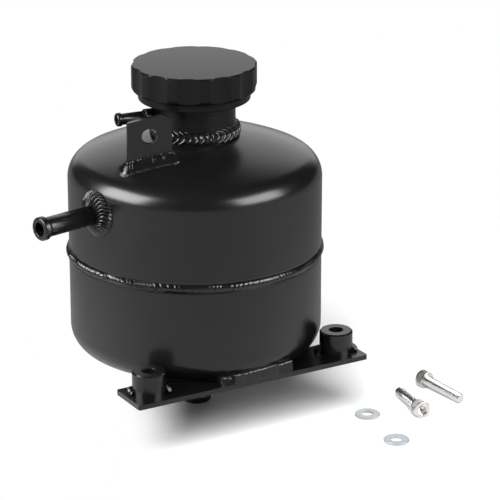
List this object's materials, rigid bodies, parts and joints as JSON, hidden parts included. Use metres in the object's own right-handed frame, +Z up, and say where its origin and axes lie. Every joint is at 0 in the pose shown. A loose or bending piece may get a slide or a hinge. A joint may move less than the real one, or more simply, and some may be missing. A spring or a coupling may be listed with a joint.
{
  "type": "coolant expansion tank",
  "caption": "Welded round aluminium coolant expansion tank with a scalloped screw cap, pressure and vacuum valves, hose spigots, a support tab and a bolted bracket plate.",
  "frame": {"origin": "midway between the two bracket bolt holes, on the underside of the bracket plate", "axes": "+Z up along the tank's axis, +X along the bracket plate from its long end to its short end, -Y towards the front where the bracket is"},
  "size_m": [0.2098, 0.1652, 0.1767],
  "materials": {
    "tank_paint": "satin",
    "cap_paint": "satin",
    "seal_rubber": "matte",
    "spring_steel": "satin",
    "valve_alloy": "turned",
    "valve_brass": "turned",
    "screw_nickel": "bright plated",
    "washer_zinc": "zinc plated"
  },
  "bodies": {
    "tank": {"upper_shell": "tank_paint", "lower_shell": "tank_paint", "girth_weld": "tank_paint", "filler_neck": "tank_paint", "neck_weld": "tank_paint", "overflow_barb": "tank_paint", "side_barb": "tank_paint", "side_barb_weld": "tank_paint", "outlet_barb": "tank_paint", "outlet_weld": "tank_paint", "support_tab": "tank_paint", "tab_weld": "tank_paint", "bracket_plate": "tank_paint", "bracket_weld": "tank_paint", "left_boss": "tank_paint", "right_boss": "tank_paint", "boss_welds": "tank_paint", "mounting_screws": "screw_nickel", "washers": "washer_zinc"},
    "plug": {"valve_plug": "valve_alloy", "plug_o_ring": "seal_rubber", "relief_spring": "spring_steel"},
    "knob": {"cap_knob": "cap_paint", "cap_gasket": "seal_rubber", "snap_ring": "spring_steel"},
    "relief": {"relief_valve_plate": "valve_brass", "relief_valve_seal": "seal_rubber", "vacuum_spring": "spring_steel"},
    "vacuum": {"vacuum_valve": "valve_brass", "vacuum_clip": "spring_steel"}
  },
  "joints": [
    {"name": "cap_lift", "type": "slide", "parent": "tank", "child": "plug", "axis": [0, 0, 1], "range_m": [0, 0.012]},
    {"name": "cap_turn", "type": "hinge", "parent": "plug", "child": "knob", "pos_m": [0.0008, 0.04954, 0.13194], "axis": [0, 0, 1], "range_deg": [0, 1080]},
    {"name": "relief_valve_lift", "type": "slide", "parent": "plug", "child": "relief", "axis": [0, 0, 1], "range_m": [0, 0.003], "stiffness_N_per_m": 4000, "springref_m": -0.0001, "deforming": ["relief_spring"]},
    {"name": "vacuum_valve_open", "type": "slide", "parent": "relief", "child": "vacuum", "axis": [0, 0, -1], "range_m": [0, 0.0015], "stiffness_N_per_m": 300, "springref_m": -0.0001, "deforming": ["vacuum_spring"]}
  ],
  "couplings": [
    {"joint": "cap_turn", "follows": "cap_lift", "rad_per_m": 1570.8}
  ]
}
